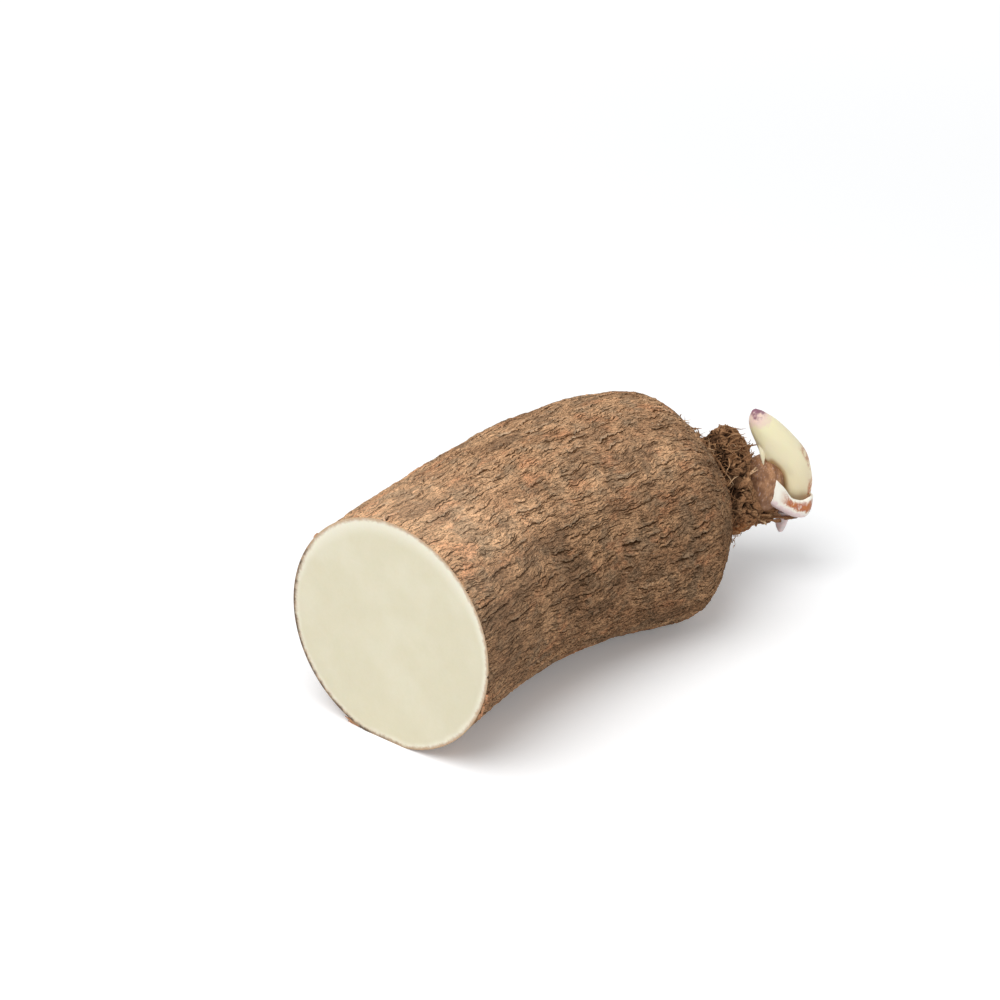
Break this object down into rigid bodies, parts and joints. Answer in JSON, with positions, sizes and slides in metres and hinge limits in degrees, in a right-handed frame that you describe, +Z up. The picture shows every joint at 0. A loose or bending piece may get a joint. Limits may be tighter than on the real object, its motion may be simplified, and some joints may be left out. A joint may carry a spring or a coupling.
{
  "type": "cut yam half",
  "caption": "Half of a yam lying on its side, cut straight across, with fissured bark, a woody crown and a new shoot.",
  "frame": {"origin": "middle of the footprint, on the surface that the half lies on", "axes": "+X from the cut face towards the crown, +Z up; the crown turns a little towards -Y"},
  "size_m": [0.2292, 0.1178, 0.1033],
  "materials": {
    "bark": "matt, rough and fissured brown bark; the cut face is smooth cream flesh inside a thin skin",
    "crown": "matt, dark, cracked and fibrous old wood",
    "bud_skin": "smooth, thin brown skin with a faint sheen",
    "shoot": "waxy cream plant tissue, purple at the tip and stained brown on its outer edge",
    "scale_leaf": "waxy white plant tissue with a torn, red-brown edge",
    "root": "moist, pale pink-white plant tissue"
  },
  "bodies": {
    "root": {"tuber": "bark", "stem_crown": "crown", "bud": "bud_skin", "shoot": "shoot", "scale_leaf": "scale_leaf", "root_tip": "root"}
  },
  "joints": []
}
